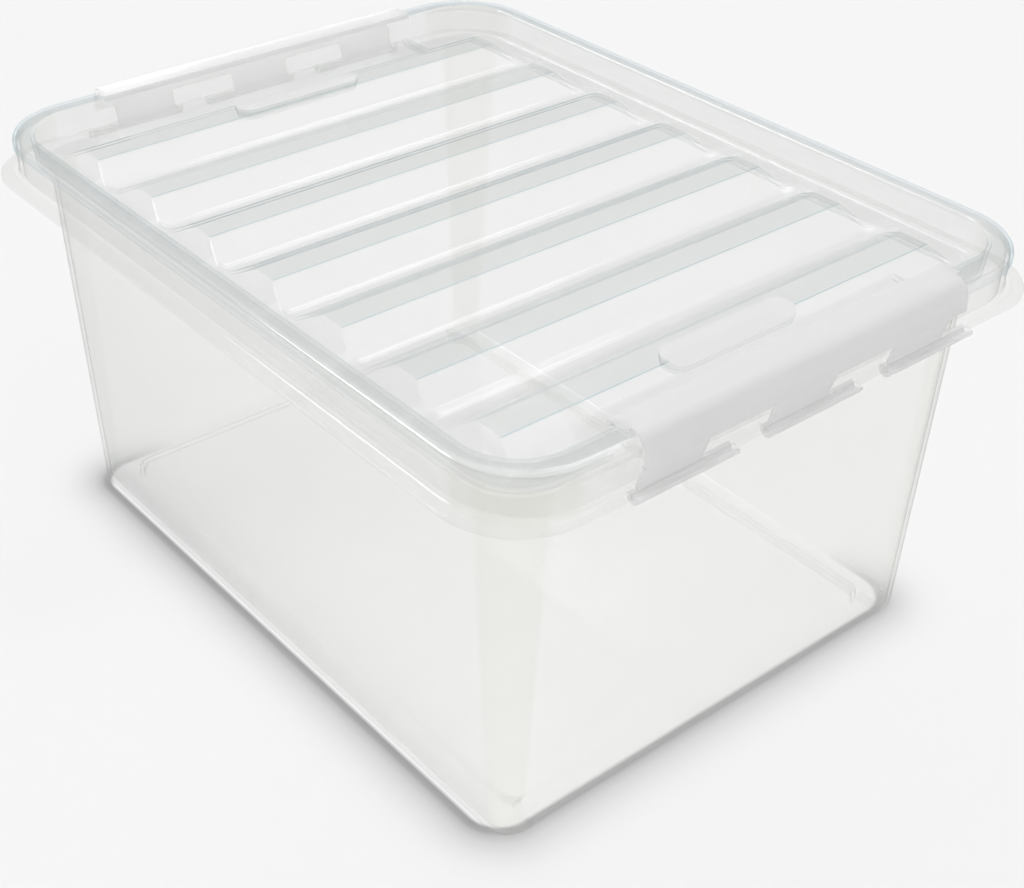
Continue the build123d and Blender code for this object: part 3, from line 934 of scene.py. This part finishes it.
def add_world():
    """A pale studio: bright overhead and behind the object, dimmer round the camera, two softboxes."""
    world = bpy.data.worlds.new("studio")
    bpy.context.scene.world = world
    world.use_nodes = True
    nodes, links = world.node_tree.nodes, world.node_tree.links
    background = nodes["Background"]
    coordinates = nodes.new("ShaderNodeTexCoord")
    split = nodes.new("ShaderNodeSeparateXYZ")
    ramp = nodes.new("ShaderNodeValToRGB")
    fill_ramp(ramp.color_ramp, WORLD_GREYS)
    links.new(coordinates.outputs["Generated"], split.inputs["Vector"])
    links.new(split.outputs["Z"], ramp.inputs["Fac"])
    backdrop = nodes.new("ShaderNodeVectorMath")
    backdrop.operation = "DOT_PRODUCT"
    backdrop.inputs[1].default_value = Vector(BACKDROP_DIRECTION).normalized()
    links.new(coordinates.outputs["Generated"], backdrop.inputs[0])
    tilt = math_node(nodes, links, "MULTIPLY", backdrop.outputs["Value"], BACKDROP_GAIN)
    tilt = math_node(nodes, links, "ADD", tilt, 1.0)
    light = math_node(nodes, links, "MULTIPLY", ramp.outputs["Color"], tilt)
    for direction, cosines, strength in SOFTBOXES:
        box = softbox(nodes, links, direction, cosines, strength)
        light = math_node(nodes, links, "ADD", light, box)
    links.new(light, background.inputs["Color"])
    background.inputs["Strength"].default_value = WORLD_STRENGTH


def add_back_light(far_latch):
    """A small softbox behind the far end that only the far latch's milky plastic picks up."""
    light = bpy.data.lights.new("back_light", "AREA")
    light.energy = BACK_LIGHT_WATTS
    light.size = BACK_LIGHT_SIZE
    lamp = bpy.data.objects.new("back_light", light)
    lamp.location = BACK_LIGHT_PLACE
    lamp.rotation_euler = (0, math.radians(-90), 0)
    bpy.context.scene.collection.objects.link(lamp)
    lit = bpy.data.collections.new("lit_from_behind")
    lit.objects.link(far_latch)
    lamp.light_linking.receiver_collection = lit


def set_look():
    """Plain colour transform, and enough light bounces to see through every wall."""
    scene = bpy.context.scene
    scene.view_settings.view_transform = "Standard"
    scene.cycles.max_bounces = 16
    scene.cycles.transparent_max_bounces = 48


def is_painted_shade_corner_face(face):
    """True on the rounded upright corners of the bin, which take a warmer, darker tint: painted shade
    for the light bent and reflected away at these corners.
    """
    return min(abs(face.normal.x), abs(face.normal.y)) > CORNER_SLANT


def is_rim_face(face):
    """True on the lid's rolled rim, which takes a blue-green tint at its edges."""
    return face.center.z > RIM_TINT_Z * MM


def is_painted_shade_ridge_top_face(face):
    """True on the flat tops of the lid's ridges, which take a darker tint: painted shade on these
    tops.
    """
    below_top = RIDGE_TOP_Z - face.center.z / MM
    return abs(below_top) < RIDGE_TOP_BAND and face.normal.z > RIDGE_TOP_FLATNESS


def is_painted_shade_ridge_edge_face(face):
    """True along the long edges of the ridge tops, which take a darker blue-green tint: painted shade
    lines for the light bent at these folds.
    """
    x, y, z = face.center / MM
    from_centre = min(abs(x - centre_x) for centre_x in RIDGE_CENTRES_X)
    on_fold = abs(from_centre - RIDGE_TOP_HALF_WIDTH) < RIDGE_EDGE_REACH
    return on_fold and abs(y) < RIDGE_HALF_LENGTH and z > RIDGE_TOP_Z - 2 * RIDGE_EDGE_REACH


def main():
    """Builds every piece, hangs it on its CAD body and sets up the studio."""
    clear_bin = clear_plastic(
        "clear_bin", BIN_TINT, BIN_EDGE_TINT, BIN_EDGE_POWER, BIN_FACE_GLOSS
    )
    # Painted shade on the bin's rounded upright corners.
    bin_corner_painted_shade = clear_plastic(
        "bin_corner_painted_shade", BIN_CORNER_PAINTED_SHADE_TINT, BIN_CORNER_PAINTED_SHADE_EDGE_TINT, BIN_EDGE_POWER, BIN_CORNER_FACE_GLOSS
    )
    clear_lid = clear_plastic(
        "clear_lid", LID_TINT, LID_EDGE_TINT, LID_EDGE_POWER, LID_FACE_GLOSS
    )
    # Painted shade on the flat tops of the lid's ridges.
    ridge_top_painted_shade = clear_plastic(
        "ridge_top_painted_shade", RIDGE_TOP_PAINTED_SHADE_TINT, LID_EDGE_TINT, LID_EDGE_POWER, LID_FACE_GLOSS
    )
    # Painted shade lines along the long edges of the ridge tops.
    ridge_edge_painted_shade = clear_plastic(
        "ridge_edge_painted_shade", RIDGE_EDGE_PAINTED_SHADE_TINT, LID_EDGE_TINT, LID_EDGE_POWER, LID_FACE_GLOSS
    )
    lid_rim = clear_plastic(
        "lid_rim", RIM_TINT, RIM_EDGE_TINT, RIM_EDGE_POWER, RIM_FACE_GLOSS
    )
    milky = milky_plastic()
    pieces = {
        "bin": build_bin(clear_bin),
        "lid": build_lid(clear_lid),
        "latch_right": build_latch("latch_right_shell", milky),
    }
    pieces["latch_left"] = turned_half_way(pieces["latch_right"], "latch_left_shell")
    # Painted shade goes onto the bin's upright corners, and onto the lid's ridge tops and ridge edges.
    give_faces(pieces["bin"], bin_corner_painted_shade, is_painted_shade_corner_face)
    give_faces(pieces["lid"], lid_rim, is_rim_face)
    # Painted shade on the ridge tops and along their long edges.
    give_faces(pieces["lid"], ridge_top_painted_shade, is_painted_shade_ridge_top_face)
    give_faces(pieces["lid"], ridge_edge_painted_shade, is_painted_shade_ridge_edge_face)
    for body, piece in pieces.items():
        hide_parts(body)
        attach(piece, body)
    add_floor()
    add_world()
    add_back_light(pieces["latch_left"])
    add_camera()
    set_look()


main()
